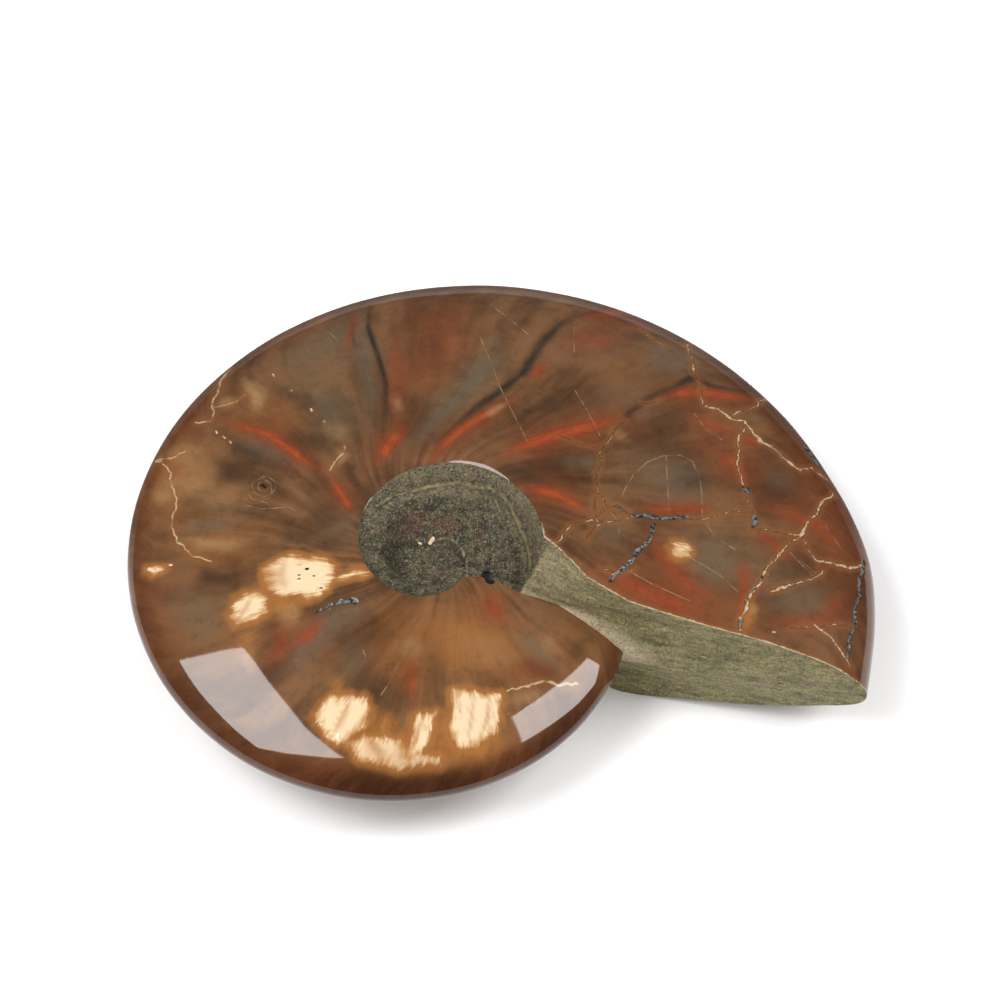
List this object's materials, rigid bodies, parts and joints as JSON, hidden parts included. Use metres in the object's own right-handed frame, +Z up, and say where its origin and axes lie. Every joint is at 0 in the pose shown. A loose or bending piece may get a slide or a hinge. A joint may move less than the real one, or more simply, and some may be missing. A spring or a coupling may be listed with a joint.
{
  "type": "fossil ammonite",
  "caption": "Polished fossil ammonite with a cut end and bare stone navels, lying on a ground flat.",
  "frame": {"origin": "on the ground under the middle of the fossil's outline, as it lies", "axes": "+Z up, along the coiling axis; +X towards the cut end, along the longest extent; +Y away from the cut face's open side"},
  "size_m": [0.2006, 0.165, 0.0509],
  "materials": {
    "polished_shell": "polished brown and red fossil shell, with bare grey-green stone in the navels and on the cut end"
  },
  "bodies": {
    "root": {"ammonite": "polished_shell"}
  },
  "joints": []
}
